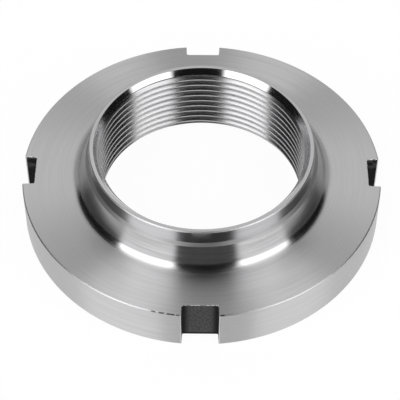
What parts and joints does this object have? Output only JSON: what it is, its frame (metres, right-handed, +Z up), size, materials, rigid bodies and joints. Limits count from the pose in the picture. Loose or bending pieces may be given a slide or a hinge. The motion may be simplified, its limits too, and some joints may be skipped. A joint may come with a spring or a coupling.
{
  "type": "slotted round nut",
  "caption": "Round steel nut: a flat flange with spanner slots in its rim and a stepped collar round a fine-threaded bore.",
  "frame": {"origin": "centre of the seat, the flat underside of the flange, on the bore's axis", "axes": "+Z up the bore's axis towards the collar; one spanner slot opens towards each of -Y, +X, +Y and -X"},
  "size_m": [0.0934, 0.0934, 0.0223],
  "materials": {
    "turned_steel": "bright turned steel with fine concentric tool marks"
  },
  "bodies": {
    "root": {"nut": "turned_steel"}
  },
  "joints": []
}
